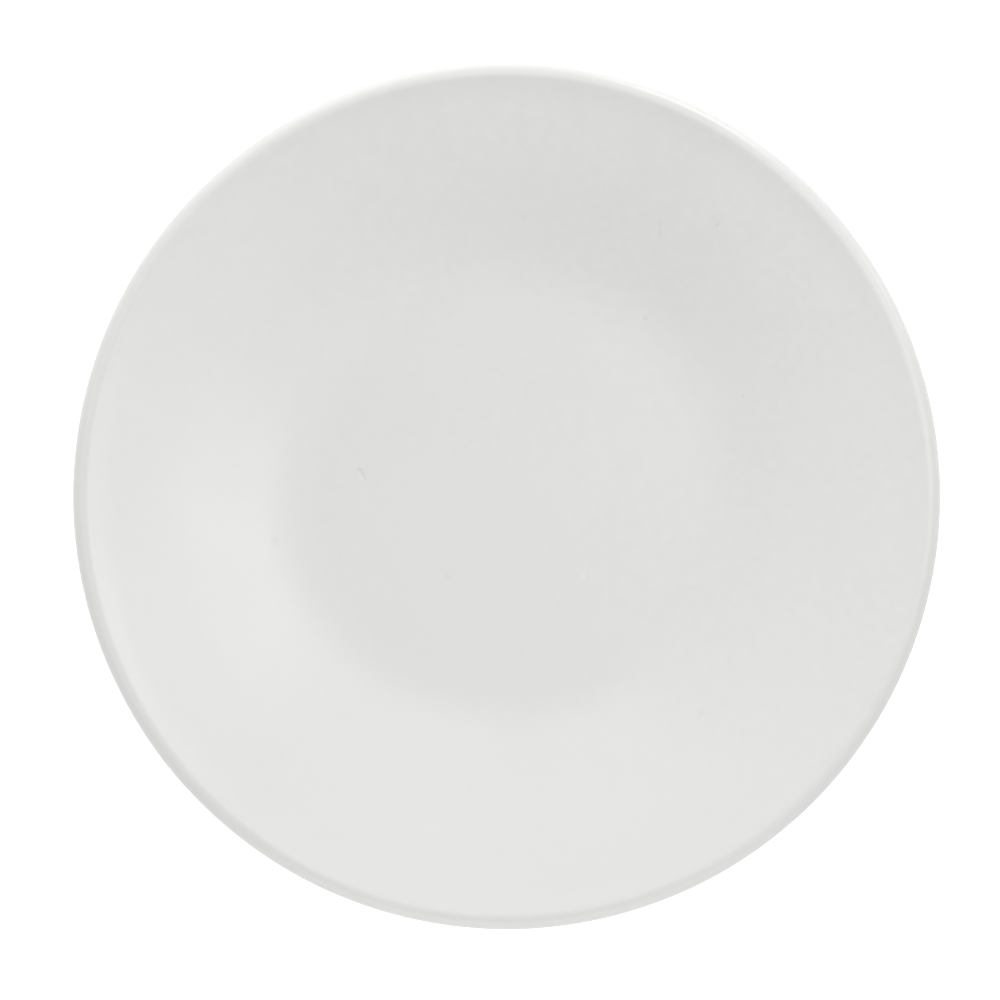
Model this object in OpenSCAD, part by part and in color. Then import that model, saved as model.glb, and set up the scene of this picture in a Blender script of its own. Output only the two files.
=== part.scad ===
// Coupe dinner plate: a turned clay body and the two glaze coats that are fused onto it.
// Everything is round about the Z axis and stands on the table at z = 0.
// An outline is drawn as [radius, height]. Diameters, heights and radii are those of the finished,
// glazed plate, and the clay lies one glaze thickness inside them.

/* [Plate] */
// Diameter over the rounded lip
plate_d = 270; // [250:1:300]
// Height from the table to the top of the lip
plate_h = 26; // [23:0.5:30]

/* [Face] */
// Diameter of the flat floor
floor_d = 118; // [108:1:128]
// Radial width of the cove, the curve that lifts off the floor
cove_w = 18; // [14:0.5:22]
// Radial width of the lower wall, which goes on steepening above the cove
wall_w = 10; // [7:0.5:14]
// Radial width of the upper wall, which keeps the steepest slope
steep_w = 11; // [7:0.5:14]
// Radial width of the shoulder, where the wall eases into the brim
shoulder_w = 7; // [4:0.5:10]
// Radial width of the upturn, where the face steepens again below the lip
upturn_w = 6.5; // [4:0.5:8]
// Slope of the cove at its outer edge, as a share of the steepest slope of the wall
cove_slope_share = 0.86; // [0.7:0.01:0.95]
// Slope of the brim where the shoulder ends, as a share of the steepest slope of the wall
shoulder_slope_share = 0.86; // [0.75:0.01:1]
// Slope of the brim at its outer edge, as a share of the steepest slope of the wall
brim_slope_share = 0.83; // [0.7:0.01:1]

/* [Lip] */
// Radius of the lip, from where the face meets it, over its top, to its outer edge
lip_r = 3.9; // [3:0.1:4.5]
// Radius of the lip below its outer edge
lip_under_r = 2.5; // [2:0.1:3]
// Slope of the face in degrees where it meets the lip
lip_slope = 20.5; // [17:0.5:24]
// Slope of the underside in degrees where the lip's lower curve ends
lip_under_slope = 7; // [4:0.5:12]
// Radial width over which the thicker lip blends into the back
lip_blend_w = 12; // [9:0.5:16]

/* [Wall] */
// Thickness through the floor and the wall above the foot
floor_t = 5.5; // [4.5:0.1:7]
// Thickness of the wall where it meets the lip
rim_t = 5; // [4.2:0.1:6]

/* [Foot] */
// Diameter over the foot ring at the table
foot_d = 150; // [138:1:162]
// Width of the foot ring at the table
foot_w = 5.5; // [4.5:0.1:7]
// Depth of the hollow inside the foot ring
foot_h = 3; // [2.4:0.1:4]
// Lean of the foot ring's sides in degrees, which lets the clay leave its mould
foot_draft = 8; // [2:1:14]
// Reach of the curve between the foot ring and the clay above it
foot_fillet = 1.8; // [1:0.1:2.4]
// Reach of the rounding along the two edges that stand on the table
foot_edge = 0.8; // [0.4:0.1:1]

/* [Glaze] */
// Thickness of both glaze coats
glaze_t = 0.4; // [0.2:0.05:0.6]
// Height above the table that is wiped bare of glaze before firing
bare_h = 1.2; // [1.1:0.1:1.4]
// Straight run of the foot ring's sides that the glaze covers before they start to curve
side_run = 0.2; // [0.1:0.05:0.3]

/* [Hidden] */

$fn = 180;
clay_color = [0.80, 0.73, 0.63];
glaze_color = [0.93, 0.92, 0.90];

// Largest share that the upturn takes of the room between the shoulder and the lip
upturn_room_share = 0.5;

// Straight runs that each stretch of the outline is drawn with
band_steps = 6;
brim_steps = 8;
back_steps = 12;
lip_steps = 12;
curve_steps = 8;

// Pull towards a rounding's corner that makes its curve very nearly a true arc
arc_share = 0.55;
// Pull along a gentle blend, as a share of its radial width
blend_share = 0.33;
// Radial step over which the back's slope is taken
slope_step = 0.1;
right_angle = 90;

plate_r = plate_d / 2;
floor_z = foot_h + floor_t;
lip_centre = [plate_r - lip_r, plate_h - lip_r];

// Radii at which the face changes its bend, from the floor outwards. The upturn is a fillet between
// the brim and the lip, so a narrow brim limits it.
floor_r = floor_d / 2;
cove_r = floor_r + cove_w;
wall_r = cove_r + wall_w;
steep_r = wall_r + steep_w;
shoulder_r = steep_r + shoulder_w;
lip_in_r = lip_centre.x - lip_r * sin(lip_slope);
upturn = min(upturn_w, upturn_room_share * (lip_in_r - shoulder_r));
brim_r = lip_in_r - upturn;

// The slope runs evenly from each of those radii to the next. The lip's own slope is given, and the
// steepest one makes up the rest of the height between the floor and the lip.
face_rise = lip_centre.y + lip_r * cos(lip_slope) - floor_z;
lip_rise = upturn * tan(lip_slope) / 2;
steepest_run = steep_w + (cove_w * cove_slope_share + wall_w * (cove_slope_share + 1)
    + shoulder_w * (1 + shoulder_slope_share)
    + (brim_r - shoulder_r) * (shoulder_slope_share + brim_slope_share)
    + upturn * brim_slope_share) / 2;
steepest = (face_rise - lip_rise) / steepest_run;
slopes = [
    [0, 0],
    [floor_r, 0],
    [cove_r, steepest * cove_slope_share],
    [wall_r, steepest],
    [steep_r, steepest],
    [shoulder_r, steepest * shoulder_slope_share],
    [brim_r, steepest * brim_slope_share],
    [lip_in_r, tan(lip_slope)],
];

// Foot ring: radius of its inner side at the table, lean of its sides for each unit of height, and
// the height at which both glaze coats begin to roll in to the clay
foot_in_r = foot_d / 2 - foot_w;
foot_lean = tan(foot_draft);
glaze_end_z = bare_h + glaze_t;
function outer_side(z) = [foot_d / 2 + foot_lean * z, z];
function inner_side(z) = [foot_in_r - foot_lean * z, z];

function sum(list) = list * [for (item = list) 1];
function reversed(list) = [for (i = [len(list) - 1 : -1 : 0]) list[i]];

// Height of the face at radius r: each band adds its width times its mean slope
function face_z(r) = floor_z + sum([
    for (i = [0 : len(slopes) - 2])
        let (from = slopes[i].x, to = max(from, min(r, slopes[i + 1].x)))
        (to - from) * (lookup(from, slopes) + lookup(to, slopes)) / 2
]);

// Height of the back at radius r, the wall's thickness below the face and square to it
function wall_t(r) = lookup(r, [[foot_d / 2, floor_t], [lip_in_r, rim_t]]);
function back_z(r) = face_z(r) - wall_t(r) / cos(atan(lookup(r, slopes)));

function back_slope(r) = (back_z(r + slope_step) - back_z(r)) / slope_step;

// Points of the face or the back from radius a to radius b. Like the curves below, they leave out the
// first point, which ends the stretch before.
function face_band(a, b, steps) = [for (i = [1 : steps]) let (r = a + (b - a) * i / steps) [r, face_z(r)]];
function back_band(a, b, steps) = [for (i = [1 : steps]) let (r = a + (b - a) * i / steps) [r, back_z(r)]];

// Points of an arc from one angle to another
function arc(centre, radius, from, to, steps = curve_steps) = [
    for (i = [1 : steps]) let (a = from + (to - from) * i / steps)
        centre + radius * [cos(a), sin(a)]
];

// Points of a smooth curve that leaves a towards a_pull and reaches b from b_pull
function curve(a, a_pull, b_pull, b) = [
    for (i = [1 : curve_steps]) let (t = i / curve_steps, u = 1 - t)
        a * u^3 + a_pull * 3 * u^2 * t + b_pull * 3 * u * t^2 + b * t^3
];

// Points of a corner that is rounded from a to b
function rounded(a, corner, b) =
    curve(a, a + (corner - a) * arc_share, b + (corner - b) * arc_share, b);

// The path moved square to itself, to the right of its direction
function moved(path, distance) = [
    for (i = [0 : len(path) - 1])
        let (along = path[min(i + 1, len(path) - 1)] - path[max(i - 1, 0)])
        path[i] + [along.y, -along.x] * distance / norm(along)
];

// Finished face, from the axis out to the lip, over its top and round to its outer edge
face_path = concat(
    [[0, floor_z], [floor_r, floor_z]],
    face_band(floor_r, cove_r, band_steps),
    face_band(cove_r, wall_r, band_steps),
    face_band(wall_r, steep_r, 1),
    face_band(steep_r, shoulder_r, band_steps),
    face_band(shoulder_r, brim_r, brim_steps),
    face_band(brim_r, lip_in_r, band_steps),
    arc(lip_centre, lip_r, right_angle + lip_slope, 0, lip_steps)
);

// Finished back, from the lip's outer edge in to the foot ring and down its outer side to the glaze's end
under_centre = [plate_r - lip_under_r, lip_centre.y];
under_arc = arc(under_centre, lip_under_r, 0, lip_under_slope - right_angle);
under_end = under_arc[curve_steps - 1];
blend_r = plate_r - lip_blend_w;
blend_end = [blend_r, back_z(blend_r)];
blend_pull = blend_share * (under_end.x - blend_r);

// The foot's outer side and the back's slope cross at foot_corner, and a fillet rounds it
foot_top_r = outer_side(foot_h).x + foot_fillet;
foot_top = [foot_top_r, back_z(foot_top_r)];
foot_top_slope = back_slope(foot_top_r);
foot_corner_z = (foot_top.y + (foot_d / 2 - foot_top_r) * foot_top_slope)
    / (1 - foot_lean * foot_top_slope);
outer_fillet = min(foot_fillet, foot_corner_z - glaze_end_z - side_run);
back_path = concat(
    under_arc,
    curve(under_end, under_end - blend_pull * [1, tan(lip_under_slope)],
        blend_end + blend_pull * [1, back_slope(blend_r)], blend_end),
    back_band(blend_r, foot_top_r, back_steps),
    rounded(foot_top, outer_side(foot_corner_z), outer_side(foot_corner_z - outer_fillet)),
    [outer_side(glaze_end_z)]
);

// Finished base, from the glaze's end on the foot's inner side up and in to the axis
inner_fillet = min(foot_fillet, foot_h - glaze_end_z - side_run);
base_edge = inner_side(foot_h);
base_path = concat(
    [inner_side(glaze_end_z), inner_side(foot_h - inner_fillet)],
    rounded(inner_side(foot_h - inner_fillet), base_edge, base_edge - [inner_fillet, 0]),
    [[0, foot_h]]
);

// Clay below the two coats, and the rolled edge where each coat ends on it
coat_path = concat(face_path, back_path);
clay_path = moved(coat_path, glaze_t);
clay_base_path = moved(base_path, glaze_t);
coat_edge = arc(clay_path[len(clay_path) - 1], glaze_t, -foot_draft, -foot_draft - right_angle);
base_edge_arc = arc(clay_base_path[0], glaze_t,
    2 * right_angle + foot_draft, 3 * right_angle + foot_draft);

// Bare clay that stands on the table, from the foot's outer side to its inner side
clay_foot_r = foot_d / 2 - glaze_t / cos(foot_draft);
clay_foot_in_r = foot_in_r + glaze_t / cos(foot_draft);
edge_top = foot_edge * [sin(foot_draft), cos(foot_draft)];
outer_edge_top = [clay_foot_r + edge_top.x, edge_top.y];
inner_edge_top = [clay_foot_in_r - edge_top.x, edge_top.y];
bare_path = concat(
    [outer_edge_top],
    rounded(outer_edge_top, [clay_foot_r, 0], [clay_foot_r - foot_edge, 0]),
    [[clay_foot_in_r + foot_edge, 0]],
    rounded([clay_foot_in_r + foot_edge, 0], [clay_foot_in_r, 0], inner_edge_top)
);

module body() {
    color(clay_color)
        rotate_extrude()
            polygon(concat(clay_path, bare_path, clay_base_path));
}

module face_glaze() {
    color(glaze_color)
        rotate_extrude()
            polygon(concat(coat_path, coat_edge, reversed(clay_path)));
}

module base_glaze() {
    color(glaze_color)
        rotate_extrude()
            polygon(concat(base_path, reversed(clay_base_path), reversed(base_edge_arc)));
}

body();
face_glaze();
base_glaze();
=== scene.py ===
import functools
import math

import bpy
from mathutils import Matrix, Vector, noise


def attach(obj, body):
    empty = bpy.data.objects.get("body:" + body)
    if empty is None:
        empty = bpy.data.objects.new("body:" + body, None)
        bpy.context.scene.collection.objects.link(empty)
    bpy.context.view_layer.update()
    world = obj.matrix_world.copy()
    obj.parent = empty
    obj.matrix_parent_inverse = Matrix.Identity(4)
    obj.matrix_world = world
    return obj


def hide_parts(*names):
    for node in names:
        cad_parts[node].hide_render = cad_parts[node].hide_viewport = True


# A coupe dinner plate in a satin warm white glaze, seen from straight above on a white floor.
# The clay keeps its CAD mesh. The two glaze coats are turned again from the CAD outlines with their
# curves drawn in full, and carry the slight unevenness that firing leaves. All lengths are in metres.

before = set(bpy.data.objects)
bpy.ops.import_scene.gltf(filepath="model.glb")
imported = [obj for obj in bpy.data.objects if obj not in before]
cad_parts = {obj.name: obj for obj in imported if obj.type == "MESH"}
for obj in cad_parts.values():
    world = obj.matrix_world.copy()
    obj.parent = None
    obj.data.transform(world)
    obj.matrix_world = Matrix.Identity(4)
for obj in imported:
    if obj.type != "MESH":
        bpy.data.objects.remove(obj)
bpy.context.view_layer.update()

MM = 0.001
MICRON = 0.000001
WHITE = (1, 1, 1, 1)

# Turning of the glaze coats. A point closer than ON_AXIS to the axis or to the seam lies on it
TURN_SEGMENTS = 256
WELD_DIGITS = 7
ON_AXIS = MM / 10000
FLAT_STEP = 2.5 * MM
CURVE_STEP = 1.25 * MM
CURVE_TURN = math.radians(3)
CORNER_TURN = math.radians(40)

# Unevenness of the fired glaze: a slow swell of its thickness, which grows between the fade's two heights.
# The fractal's values are its falloff, its scale step and its octaves
SWELL_DEPTH = 0.07 * MM
SWELL_SIZE = 34 * MM
SWELL_FRACTAL = (1, 2, 2)
SWELL_FADE = (2 * MM, 6 * MM)

# The line where the glaze was wiped off the foot wavers a little, which ends between the fade's two heights
WAVER_DEPTH = 0.15 * MM
WAVER_SIZE = 9 * MM
WAVER_FADE = (1.7 * MM, 2.4 * MM)

# Camera, straight above the plate and aimed a little beside its axis, as in the photograph. Its picture is
# FRAME_WIDTH wide at the height of the lip, and the sensor's width is in millimetres
CAMERA_HEIGHT = 1.5
CAMERA_OFFSET = (-2.09 * MM, -1.33 * MM)
FRAME_WIDTH = 0.31126
LIP_HEIGHT = 22 * MM
SENSOR_WIDTH = 36

# Studio lamps: direction that each one stands in (degrees round from +X, degrees down from straight
# above), distance, width, height and power in watts
LAMPS = {
    "key": (64, 68, 1.3, 0.40, 0.36, 4.6),
    "key_left": (115, 72, 1.2, 0.80, 0.35, 2.8),
    "key_right": (31, 70, 1.3, 0.26, 0.26, 1.85),
    "low_box": (270, 62, 1.2, 1.60, 0.80, 7.4),
    "right_box": (2, 28, 1.3, 0.36, 0.30, 1.9),
    "right_top_box": (30, 30, 1.3, 0.26, 0.26, 1.1),
    "left_box": (180, 40, 0.9, 0.60, 0.30, 0.7),
    "top_box": (90, 20, 1.0, 0.45, 0.25, 0.8),
    "overhead": (270, 14, 1.3, 0.36, 0.30, 0.5),
    "rim_left": (150, 84, 1.2, 0.70, 0.16, 3.2),
    "rim_top": (90, 84, 1.2, 0.70, 0.16, 0.9),
}
# A lamp that stands this many degrees down or more lights the lip, but has no reflection in the glaze
LOW_LAMP = 80
# Strength of the soft light that comes from all round
AMBIENT = 0.2

# The floor: its colour, the glow that makes it white where it is seen, and the distances from the axis
# between which the glow grows to full white. It lies a hair under the foot
FLOOR_COLOR = (0.85, 0.85, 0.85, 1)
FLOOR_GLOW = 0.75
GLOW_FADE = (0.35, 0.9)
FLOOR_SIZE = 12
FLOOR_DROP = 0.05 * MM

# The span that holds most of a noise's values
NOISE_SPAN = (0.35, 0.65)

# Glaze tones, linear. The glaze drifts slowly between the first two and in roughness. It is thinner and
# shows the warm clay close to the bare foot
GLAZE_COLOR = (0.785, 0.787, 0.770)
GLAZE_DEEP = (0.776, 0.779, 0.761)
GLAZE_THIN = (0.68, 0.63, 0.54)
# Colour of the dark specks, which some marks also take as painted shade, and which marks with a share below
# nothing move away from as a painted highlight
GLAZE_SPECK_AND_SHADE = (0.50, 0.47, 0.42)
GLAZE_IOR = 1.5
GLAZE_ROUGHNESS = (0.33, 0.36)
ROUGHNESS_SPAN = (0.3, 0.7)
DRIFT_SIZE = 45 * MM
THIN_HEIGHT = (1.5 * MM, 2.7 * MM)

# Mottling of the glaze: a cloudy grain that runs lighter and darker, and faint dots. A share is how much of
# the speck's colour the dots take, or lies between the grain's two ends, where the mottling is strongest.
# It comes in patches, and is stronger towards the upper right of the plate, where the light grazes the
# face: that growth towards one side is painted shading of the glaze's relief
MOTTLE_SIZE, MOTTLE_DETAIL, MOTTLE_SHARE = 3.4 * MM, 4, 0.055
MOTTLE_RANGE = (-0.5, 0.5)
DOT_SPACING, DOT_RADIUS, DOT_SHARE = 6 * MM, 0.7 * MM, 0.08
PATCH_SIZE = 24 * MM
PATCH_SPAN = (0.3, 0.6)
PATCH_STRENGTH = (0.3, 1)
# Painted shading of the relief: the side that the mottling grows stronger towards, how far across the plate
# it grows, and its strength from one end to the other
PAINTED_SHADE_SIDE = (0.6, 0.8, 0)
PAINTED_SHADE_REACH = (-90 * MM, 90 * MM)
PAINTED_SHADE_STRENGTH = (0.35, 1)

# Relief of the glaze, with its depths in microns: eggshell grain, orange peel, the faint rings that the
# turning tool left in the clay, and the pinholes in the faint dots
GRAIN_SIZE, GRAIN_DETAIL, GRAIN_DEPTH = 1.2 * MM, 3, 16
PEEL_SIZE, PEEL_DETAIL, PEEL_DEPTH = 3.2 * MM, 1, 26
RING_SIZE, RING_DETAIL, RING_DEPTH = 2.6 * MM, 2, 14
RING_FADE_SIZE = 22 * MM
PINHOLE_DEPTH = 15

# Marks in the face's glaze: x, y, half length and half width in millimetres, degrees that the length is
# turned, height in microns, and how much of the speck's colour each one takes, where less than nothing
# makes it lighter
MARKS = {
    "chip_pit": (-45.3, 6.6, 2.6, 1.9, -65, -110, 0.0),
    # Around the chip's pit, the darker edge and side are painted shade on its walls, and the lighter floor
    # is a painted highlight where light catches its lower wall
    "chip_painted_shade_edge": (-46.1, 8.3, 1.9, 1.0, 0, 0, 0.20),
    "chip_painted_shade_side": (-45.1, 6.6, 3.1, 1.0, -69, 0, 0.16),
    "chip_painted_highlight_floor": (-45.8, 5.6, 1.3, 1.0, 90, 0, -0.12),
    # The dimple's and the shallow dip's darker tone is painted shade in them, the dip's lighter edge is a
    # painted highlight on its rim, the pimple's lighter tone is a painted highlight on its bump and its
    # darker side is painted shade
    "dimple_painted_shade": (-72.9, -13.9, 2.5, 2.1, 90, -30, 0.12),
    "dip_painted_shade": (60.9, -68.1, 2.6, 1.6, 30, -15, 0.11),
    "dip_painted_highlight_edge": (58.9, -67.6, 1.5, 0.8, 90, 0, -0.07),
    "pimple_painted_highlight": (24.1, -25.6, 1.9, 1.2, 90, 40, -0.11),
    "pimple_painted_shade_side": (25.5, -25.5, 1.3, 0.7, 90, 0, 0.09),
    "speck_1": (65.7, 84.6, 1.2, 1.1, 0, 0, 0.22),
    "speck_2": (48.0, 82.0, 2.6, 1.0, 90, 0, 0.17),
    "speck_3": (48.0, 84.8, 1.2, 1.0, 90, 0, 0.13),
    "speck_4": (43.5, 55.6, 1.1, 0.9, 0, 0, 0.23),
    "speck_5": (74.2, 31.2, 1.1, 0.9, 90, 0, 0.16),
    "speck_6": (72.4, 30.4, 1.9, 0.8, 100, 0, 0.06),
    "speck_7": (5.2, 87.5, 2.4, 2.1, 90, 0, 0.09),
    "speck_8": (3.9, 89.9, 2.5, 1.0, 0, 0, 0.08),
    "speck_9": (-18.6, -25.4, 1.9, 1.0, -60, 0, 0.11),
    "speck_10": (52.3, -13.9, 2.4, 1.8, 0, 0, 0.07),
    "speck_11": (57.4, -13.7, 1.9, 0.7, 80, 0, 0.08),
}

# Bare clay, linear: its grain, its dark grit and the greyer band that standing on tables rubs smooth
CLAY_COLOR = (0.62, 0.53, 0.42)
CLAY_DARK = (0.50, 0.41, 0.31)
CLAY_GRIT = (0.22, 0.15, 0.10)
CLAY_RUBBED = (0.47, 0.43, 0.37)
CLAY_TONE_SPAN = (0.35, 0.7)
CLAY_GRAIN_SIZE, CLAY_GRAIN_DETAIL = 0.5 * MM, 4
GRIT_SPACING, GRIT_RADIUS = 1.6 * MM, 0.16 * MM
RUBBED_HEIGHT = (0.02 * MM, 0.30 * MM)
RUBBED_SHARE = 0.6
# Each pair is for the fresh clay and for the rubbed clay. The depths are in microns
CLAY_GRAIN_DEPTHS = (40, 40 / 3)
CLAY_ROUGHNESS = (0.9, 0.7)


class Shader:
    """Short names for the nodes that a material or a world is built from."""

    def __init__(self, owner):
        owner.use_nodes = True
        self.tree = owner.node_tree
        self.tree.nodes.clear()

    def add(self, kind, inputs=None, **settings):
        """A node of that kind. An input is a number, a colour or the output of another node."""
        node = self.tree.nodes.new("ShaderNode" + kind)
        for name, value in settings.items():
            setattr(node, name, value)
        for key, value in (inputs or {}).items():
            if isinstance(value, bpy.types.NodeSocket):
                self.tree.links.new(value, node.inputs[key])
            else:
                node.inputs[key].default_value = value
        return node

    def math(self, operation, a, b):
        return self.add("Math", {0: a, 1: b}, operation=operation).outputs[0]

    def product(self, a, b):
        return self.math("MULTIPLY", a, b)

    def total(self, values):
        return functools.reduce(lambda a, b: self.math("ADD", a, b), values)

    def length(self, vector):
        return self.add("VectorMath", {0: vector}, operation="LENGTH").outputs["Value"]

    def remap(self, value, low, high, to_low=0.0, to_high=1.0):
        """The value's run from low to high, eased in and out and held outside."""
        inputs = {"Value": value, "From Min": low, "From Max": high, "To Min": to_low, "To Max": to_high}
        return self.add("MapRange", inputs, interpolation_type="SMOOTHSTEP").outputs[0]

    def noise(self, place, size, detail=2.0, dimensions="3D"):
        """Noise whose features are about as long as size."""
        inputs = {"Scale": 1 / size, "Detail": detail}
        inputs["W" if dimensions == "1D" else "Vector"] = place
        return self.add("TexNoise", inputs, noise_dimensions=dimensions).outputs["Fac"]

    def dots(self, place, spacing, radius):
        """1 at the middle of scattered dots and 0 outside them."""
        away = self.add("TexVoronoi", {"Vector": place, "Scale": 1 / spacing}).outputs["Distance"]
        return self.remap(away, 0, radius / spacing, 1, 0)

    def spot(self, place, centre, turn, sizes):
        """1 at centre, falling to 0 at the half sizes of a spot that is turned about the vertical."""
        inputs = {"Vector": place, "Location": centre, "Rotation": (0, 0, turn), "Scale": sizes}
        inside = self.add("Mapping", inputs, vector_type="TEXTURE").outputs[0]
        return self.remap(self.length(inside), 0, 1, 1, 0)

    def bump(self, height):
        """The normal of a relief whose height is in microns."""
        return self.add("Bump", {"Strength": 1.0, "Distance": MICRON, "Height": height}).outputs[0]

    def mix_color(self, share, a, b):
        """The colour that far from a to b. A share below 0 goes the other way. The Mix node's colour
        sockets are inputs 6 and 7 and output 2."""
        with_alpha = [c if isinstance(c, bpy.types.NodeSocket) else (*c, 1) for c in (a, b)]
        inputs = {0: share, 6: with_alpha[0], 7: with_alpha[1]}
        return self.add("Mix", inputs, data_type="RGBA", clamp_factor=False).outputs[2]

    def finish(self, kind, surface):
        self.add("Output" + kind, {"Surface": surface})


def new_material(name):
    """A material, its shader and the place on the object that it paints."""
    material = bpy.data.materials.new(name)
    shader = Shader(material)
    return material, shader, shader.add("TexCoord").outputs["Object"]


def new_object(name, data):
    """An object that shows the data, linked to the scene."""
    made = bpy.data.objects.new(name, data)
    bpy.context.scene.collection.objects.link(made)
    return made


def section(name, outer_end):
    """A CAD node's outline at y = 0, read along its mesh's seam: welded (radius, height) points from one
    end on the axis side to the other. outer_end, min or max, says which end's height starts it."""
    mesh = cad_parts[name].data
    links = {}
    for edge in mesh.edges:
        ends = [mesh.vertices[i].co for i in edge.vertices]
        if all(abs(co.y) < ON_AXIS and co.x > -ON_AXIS for co in ends):
            a, b = ((round(co.x, WELD_DIGITS), round(co.z, WELD_DIGITS)) for co in ends)
            if a != b:
                links.setdefault(a, set()).add(b)
                links.setdefault(b, set()).add(a)
    tips = [point for point, near in links.items() if len(near) == 1]
    path = [outer_end(tips, key=lambda point: point[1])]
    while len(path) < len(links):
        path.append(next(point for point in links[path[-1]] if point not in path[-2:]))
    return [Vector(point) for point in path]


def direction(a, b):
    return (b - a).normalized()


def tangents(path):
    """The direction of a circle through each point and its two neighbours."""
    found = [direction(path[0], path[1])]
    for before, here, after in zip(path, path[1:], path[2:]):
        into, out = here - before, after - here
        found.append((into / into.length_squared + out / out.length_squared).normalized())
    return found + [direction(path[-2], path[-1])]


def smooth(path):
    """The same path as Hermite curves, drawn in steps of at most CURVE_STEP and CURVE_TURN."""
    leaning = tangents(path)
    made = [path[0]]
    for a, b, leave, reach in zip(path, path[1:], leaning, leaning[1:]):
        length = (b - a).length
        steps = math.ceil(max(length / CURVE_STEP, leave.angle(reach) / CURVE_TURN, 1))
        for i in range(1, steps + 1):
            t = i / steps
            made.append(
                a * (1 + 2 * t) * (1 - t) ** 2
                + b * (3 - 2 * t) * t**2
                + leave * length * t * (1 - t) ** 2
                - reach * length * t**2 * (1 - t)
            )
    return made


def divided(a, b):
    """Points along a straight run, without the first."""
    steps = math.ceil((b - a).length / FLAT_STEP)
    return [a.lerp(b, i / steps) for i in range(1, steps + 1)]


def faded(height, limits):
    """0 below the limits, 1 above them and an even rise between."""
    low, high = limits
    return min(1, max(0, (height - low) / (high - low)))


def facing(profile, index, exposed):
    """The direction square to the profile at a point, or none where the point isn't exposed."""
    if index >= exposed:
        return Vector((0, 0))
    along = profile[min(index + 1, exposed - 1)] - profile[max(index - 1, 0)]
    return Vector((-along.y, along.x)).normalized()


def fired(point, normal, angle):
    """The profile's point turned to an angle, with the swell along its normal and the wavering end line."""
    place = Vector((point.x * math.cos(angle), point.x * math.sin(angle), point.y))
    swell = SWELL_DEPTH * faded(point.y, SWELL_FADE) * noise.fractal(place / SWELL_SIZE, *SWELL_FRACTAL)
    around = Vector((place.x, place.y, 0)) / WAVER_SIZE
    waver = WAVER_DEPTH * (1 - faded(point.y, WAVER_FADE)) * noise.noise(around)
    radius = point.x + normal.x * swell
    height = point.y + normal.y * swell + waver
    return radius * math.cos(angle), radius * math.sin(angle), height


def bands(rings, outwards):
    """The faces between each ring and the next. A ring of one point on the axis makes triangles."""
    faces = []
    for inner, outer in zip(rings, rings[1:]):
        for i in range(TURN_SEGMENTS):
            j = (i + 1) % TURN_SEGMENTS
            corners = [ring[k % len(ring)] for ring, k in ((inner, i), (outer, i), (outer, j), (inner, j))]
            faces.append(list(dict.fromkeys(corners))[::outwards])
    return faces


def turned(name, profile, exposed):
    """A closed solid of revolution from a profile that starts and ends on the axis. Its first exposed
    points swell slightly, as fired glaze does. A profile that starts at its lower end runs the other way
    round, so its faces and its swell are turned about to point out of the solid as well."""
    outwards = 1 if profile[0].y > profile[-1].y else -1
    rings = []
    vertices = []
    for index, point in enumerate(profile):
        count = 1 if point.x < ON_AXIS else TURN_SEGMENTS
        rings.append(range(len(vertices), len(vertices) + count))
        normal = facing(profile, index, exposed) * outwards
        vertices += [fired(point, normal, 2 * math.pi * i / count) for i in range(count)]
    mesh = bpy.data.meshes.new(name)
    mesh.from_pydata(vertices, [], bands(rings, outwards))
    mesh.shade_smooth()
    mesh.set_sharp_from_angle(angle=CORNER_TURN)
    return new_object(name, mesh)


def glaze_coat(name, node, outer_end, material):
    """A glaze coat turned from the outline of its CAD node, which it replaces. The coat is exposed from the
    axis to the corner where its rolled edge meets the clay, and rests on the clay from there back."""
    path = section(node, outer_end)
    leans = [direction(a, b) for a, b in zip(path, path[1:])]
    corner = next(i for i, (a, b) in enumerate(zip(leans, leans[1:]), 1) if a.angle(b) > CORNER_TURN)
    axis_start, axis_end = (Vector((0, point.y)) for point in (path[0], path[-1]))
    outer = smooth([axis_start] + divided(axis_start, path[0]) + path[1:corner + 1])
    profile = outer + path[corner + 1:] + [axis_end]
    piece = turned(name, profile, len(outer))
    piece.data.materials.append(material)
    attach(piece, "root")
    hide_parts(node)


def face_height(path, radius):
    """Height of the face at a radius, from its outline."""
    if radius < path[0].x:
        return path[0].y
    a, b = next((a, b) for a, b in zip(path, path[1:]) if b.x >= radius)
    return a.lerp(b, (radius - a.x) / (b.x - a.x)).y


def glaze_mottling(shader, place, dots):
    """Shares of the speck's colour that the cloudy grain and the faint dots take. Both grow towards one
    side of the plate, as painted shading of the relief where the light grazes the face.
    """
    # How far a point lies towards the side where the mottling is painted stronger as shade
    side = shader.add("VectorMath", {0: place, 1: PAINTED_SHADE_SIDE}, operation="DOT_PRODUCT").outputs["Value"]
    patches = shader.product(
        shader.remap(shader.noise(place, PATCH_SIZE), *PATCH_SPAN, *PATCH_STRENGTH),
        shader.remap(side, *PAINTED_SHADE_REACH, *PAINTED_SHADE_STRENGTH),
    )
    cloudy = shader.remap(shader.noise(place, MOTTLE_SIZE, MOTTLE_DETAIL), *NOISE_SPAN, *MOTTLE_RANGE)
    return [
        shader.product(patches, shader.product(cloudy, MOTTLE_SHARE)),
        shader.product(patches, shader.product(dots, DOT_SHARE)),
    ]


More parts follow.
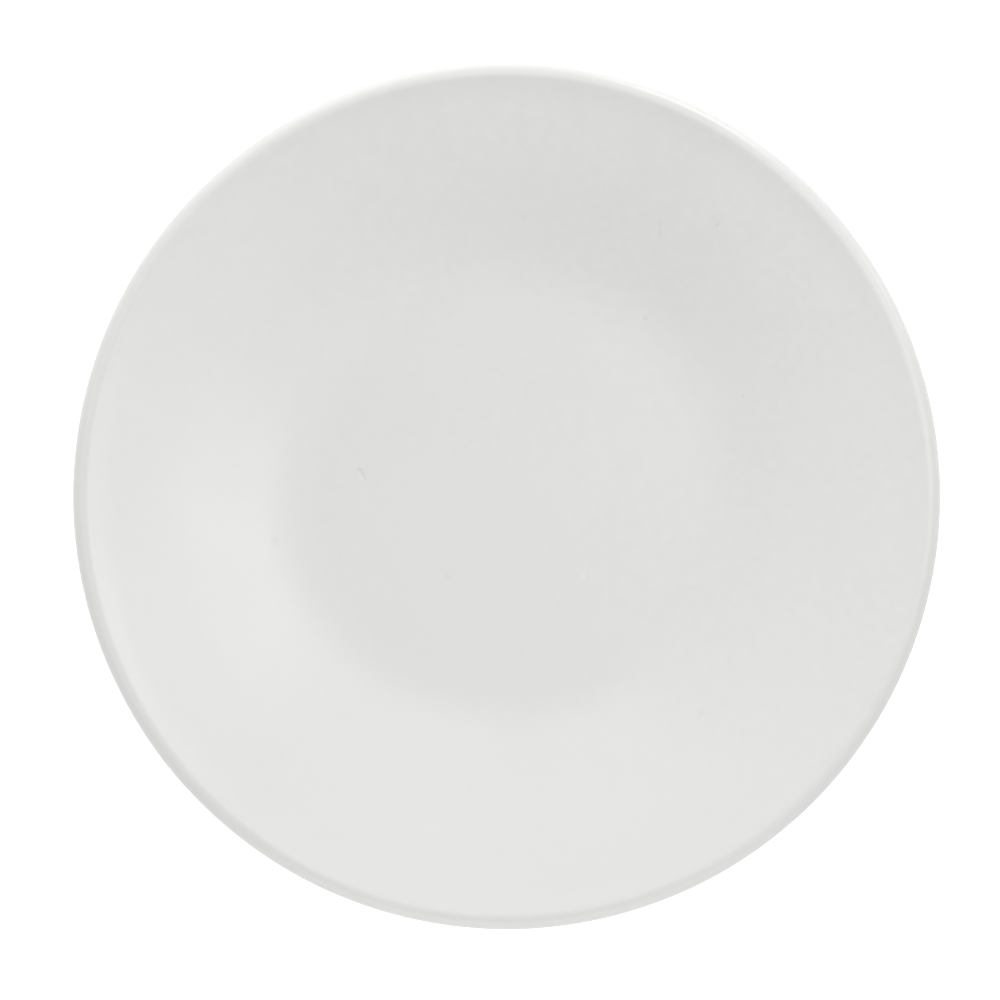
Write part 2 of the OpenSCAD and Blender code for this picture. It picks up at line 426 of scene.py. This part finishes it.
def glaze_relief(shader, place, dots):
    """Heights in microns of the grain, the orange peel, the turning rings and the pinholes."""
    flat = shader.add("VectorMath", {0: place, 1: (1, 1, 0)}, operation="MULTIPLY").outputs["Vector"]
    rings = shader.product(
        shader.noise(shader.length(flat), RING_SIZE, RING_DETAIL, "1D"),
        shader.remap(shader.noise(place, RING_FADE_SIZE), *NOISE_SPAN),
    )
    return [
        shader.product(shader.noise(place, GRAIN_SIZE, GRAIN_DETAIL), GRAIN_DEPTH),
        shader.product(shader.noise(place, PEEL_SIZE, PEEL_DETAIL), PEEL_DEPTH),
        shader.product(rings, RING_DEPTH),
        shader.product(dots, -PINHOLE_DEPTH),
    ]


def glaze_marks(shader, place):
    """Heights in microns, and shares of the speck's colour, of the marks on the face. Some shares are
    painted shade in the marks' dips and beside their bumps, and the shares below nothing are painted
    highlights.
    """
    outline = section("face_glaze", max)
    heights = []
    shares = []
    for x, y, length, width, turn, height, share in MARKS.values():
        centre = Vector((x, y)) * MM
        on_face = (*centre, face_height(outline, centre.length))
        spot = shader.spot(place, on_face, math.radians(turn), (length * MM, width * MM, length * MM))
        if height:
            heights.append(shader.product(spot, height))
        if share:
            shares.append(shader.product(spot, share))
    return heights, shares


def satin_glaze():
    """Warm white satin glaze: tone that drifts, mottling, eggshell grain, faint turning rings, pinholes
    and marks. Some marks carry painted shade and painted highlights, and the mottling is painted stronger
    towards one side as shading of the relief."""
    material, shader, place = new_material("satin_white_glaze")
    height = shader.add("SeparateXYZ", {0: place}).outputs["Z"]
    drift = shader.noise(place, DRIFT_SIZE)
    dots = shader.dots(place, DOT_SPACING, DOT_RADIUS)
    mark_heights, mark_specks_and_painted_light = glaze_marks(shader, place)
    specks_and_painted_light = glaze_mottling(shader, place, dots) + mark_specks_and_painted_light
    relief = glaze_relief(shader, place, dots) + mark_heights

    tone = shader.mix_color(shader.remap(drift, *NOISE_SPAN), GLAZE_COLOR, GLAZE_DEEP)
    # Specks and mottling, with painted shade and painted highlights at some marks and painted shading of
    # the grain towards one side
    tone = shader.mix_color(shader.total(specks_and_painted_light), tone, GLAZE_SPECK_AND_SHADE)
    tone = shader.mix_color(shader.remap(height, *THIN_HEIGHT, 1, 0), tone, GLAZE_THIN)
    surface = shader.add("BsdfPrincipled", {
        "Base Color": tone,
        "Roughness": shader.remap(drift, *ROUGHNESS_SPAN, *GLAZE_ROUGHNESS),
        "IOR": GLAZE_IOR,
        "Normal": shader.bump(shader.total(relief)),
    })
    shader.finish("Material", surface.outputs[0])
    return material


def bare_clay():
    """Bare fired clay: buff, matt, finely grained and gritty, and rubbed smoother where it stands."""
    material, shader, place = new_material("bare_fired_clay")
    height = shader.add("SeparateXYZ", {0: place}).outputs["Z"]
    grain = shader.noise(place, CLAY_GRAIN_SIZE, CLAY_GRAIN_DETAIL)
    grit = shader.dots(place, GRIT_SPACING, GRIT_RADIUS)
    rubbed = shader.remap(height, *RUBBED_HEIGHT, 1, 0)
    tone = shader.mix_color(shader.remap(grain, *CLAY_TONE_SPAN), CLAY_COLOR, CLAY_DARK)
    tone = shader.mix_color(shader.product(rubbed, RUBBED_SHARE), tone, CLAY_RUBBED)
    tone = shader.mix_color(grit, tone, CLAY_GRIT)
    relief = shader.product(grain, shader.remap(rubbed, 0, 1, *CLAY_GRAIN_DEPTHS))
    surface = shader.add("BsdfPrincipled", {
        "Base Color": tone,
        "Roughness": shader.remap(rubbed, 0, 1, *CLAY_ROUGHNESS),
        "Normal": shader.bump(relief),
    })
    shader.finish("Material", surface.outputs[0])
    return material


def seen_directly(shader):
    """1 for camera, glossy and transmission rays, and 0 for the others."""
    path = shader.add("LightPath").outputs
    seen = shader.math("MAXIMUM", path["Is Camera Ray"], path["Is Glossy Ray"])
    return shader.math("MAXIMUM", seen, path["Is Transmission Ray"])


def white_table():
    """The floor's material. Its glow is seen but lights nothing, and its own colour takes the shadow."""
    material, shader, place = new_material("white_table")
    glow = shader.remap(shader.length(place), *GLOW_FADE, FLOOR_GLOW, 1)
    glow = shader.product(glow, seen_directly(shader))
    emission = shader.add("Emission", {"Color": WHITE, "Strength": glow})
    diffuse = shader.add("BsdfDiffuse", {"Color": FLOOR_COLOR})
    both = shader.add("AddShader", {0: emission.outputs[0], 1: diffuse.outputs[0]})
    shader.finish("Material", both.outputs[0])
    return material


def white_floor():
    half = FLOOR_SIZE / 2
    corners = [(x * half, y * half, -FLOOR_DROP) for x, y in ((-1, -1), (1, -1), (1, 1), (-1, 1))]
    mesh = bpy.data.meshes.new("floor")
    mesh.from_pydata(corners, [], [(0, 1, 2, 3)])
    mesh.materials.append(white_table())
    new_object("floor", mesh)


def white_world():
    """White where it is seen, and a soft ambient light elsewhere."""
    world = bpy.data.worlds.new("studio")
    bpy.context.scene.world = world
    shader = Shader(world)
    strength = shader.remap(seen_directly(shader), 0, 1, AMBIENT, 1)
    background = shader.add("Background", {"Color": WHITE, "Strength": strength})
    shader.finish("World", background.outputs[0])


def lamp(name, azimuth, tilt, distance, width, height, power):
    """A soft box that points at the middle of the foot."""
    data = bpy.data.lights.new(name, "AREA")
    data.shape = "RECTANGLE"
    data.size = width
    data.size_y = height
    data.energy = power
    a, t = math.radians(azimuth), math.radians(tilt)
    towards = Vector((math.cos(a) * math.sin(t), math.sin(a) * math.sin(t), math.cos(t)))
    made = new_object(name, data)
    made.location = towards * distance
    made.rotation_euler = (-towards).to_track_quat("-Z", "Y").to_euler()
    made.visible_camera = False
    made.visible_glossy = tilt < LOW_LAMP


def overhead_camera():
    data = bpy.data.cameras.new("camera")
    data.sensor_width = SENSOR_WIDTH
    data.lens = SENSOR_WIDTH * (CAMERA_HEIGHT - LIP_HEIGHT) / FRAME_WIDTH
    camera = new_object("camera", data)
    camera.location = (*CAMERA_OFFSET, CAMERA_HEIGHT)
    bpy.context.scene.camera = camera


overhead_camera()
for lamp_name, values in LAMPS.items():
    lamp(lamp_name, *values)
white_world()
white_floor()

glaze = satin_glaze()
glaze_coat("face_glaze_coat", "face_glaze", max, glaze)
glaze_coat("base_glaze_coat", "base_glaze", min, glaze)
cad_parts["body"].material_slots[0].material = bare_clay()

bpy.context.scene.view_settings.view_transform = "Standard"
